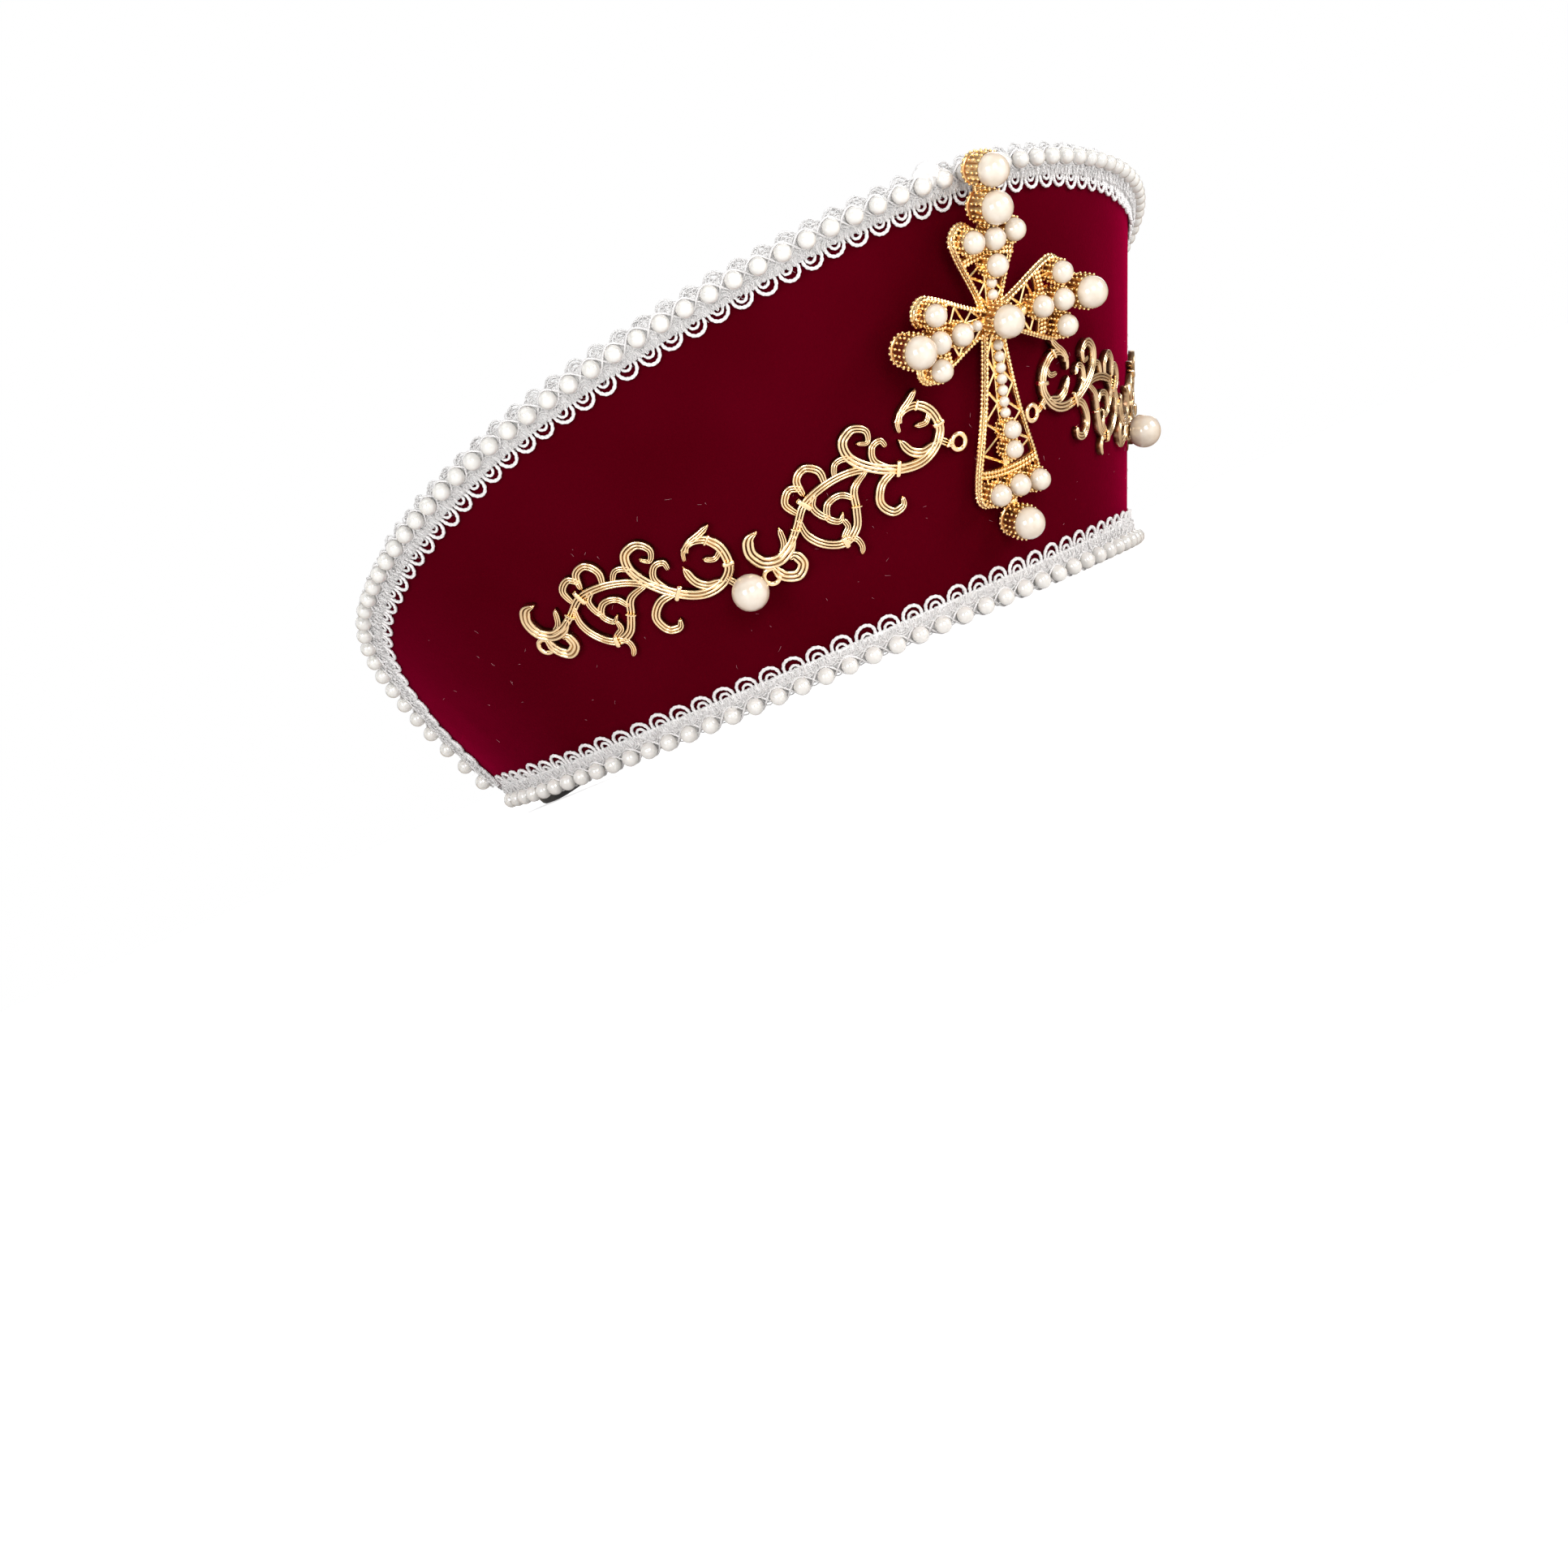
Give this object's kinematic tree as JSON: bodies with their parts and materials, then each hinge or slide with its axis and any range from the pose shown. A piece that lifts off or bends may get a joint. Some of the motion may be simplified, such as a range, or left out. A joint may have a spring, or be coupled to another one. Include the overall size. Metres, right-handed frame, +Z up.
{
  "type": "costume coronet",
  "caption": "Stiff flared velvet coronet that wraps the forehead, with a pearl-beaded braid edge, a gold filigree cross, gold scrolls and a hairband.",
  "frame": {"origin": "middle of the outline at the surface the coronet rests on", "axes": "+Z up, the front with the cross faces -Y, +X towards the scrolls on the right of a viewer in front"},
  "size_m": [0.248, 0.1976, 0.1004],
  "materials": {
    "velvet": "deep red velvet with a short pile and a bright sheen at grazing angles",
    "braid": "white picot gimp braid of twisted thread",
    "pearl": "ivory imitation pearl, glossy with a soft lustre",
    "gold": "polished light gold plating over a cast or stamped base",
    "black": "smooth black plastic"
  },
  "bodies": {
    "root": {"crown_wall": "velvet", "top_trim": "braid", "bottom_trim": "braid", "top_pearls": "pearl", "bottom_pearls": "pearl", "hairband": "black", "cross_frame": "gold", "scroll_left_inner": "gold", "scroll_left_outer": "gold", "scroll_right_inner": "gold", "scroll_right_outer": "gold", "side_pearl_left": "pearl", "side_pearl_right": "pearl", "pearl_centre": "pearl", "pearl_top": "pearl", "pearl_upper_end": "pearl", "pearl_left_end": "pearl", "pearl_right_end": "pearl", "pearl_lower_end": "pearl", "pearl_upper_arm": "pearl", "pearl_upper_trefoil_a": "pearl", "pearl_upper_trefoil_b": "pearl", "pearl_upper_trefoil_c": "pearl", "pearl_left_arm": "pearl", "pearl_left_trefoil_a": "pearl", "pearl_left_trefoil_b": "pearl", "pearl_left_trefoil_c": "pearl", "pearl_right_arm": "pearl", "pearl_right_trefoil_a": "pearl", "pearl_right_trefoil_b": "pearl", "pearl_right_trefoil_c": "pearl", "pearl_lower_arm_a": "pearl", "pearl_lower_arm_b": "pearl", "pearl_lower_trefoil_a": "pearl", "pearl_lower_trefoil_b": "pearl", "pearl_lower_trefoil_c": "pearl"}
  },
  "joints": []
}
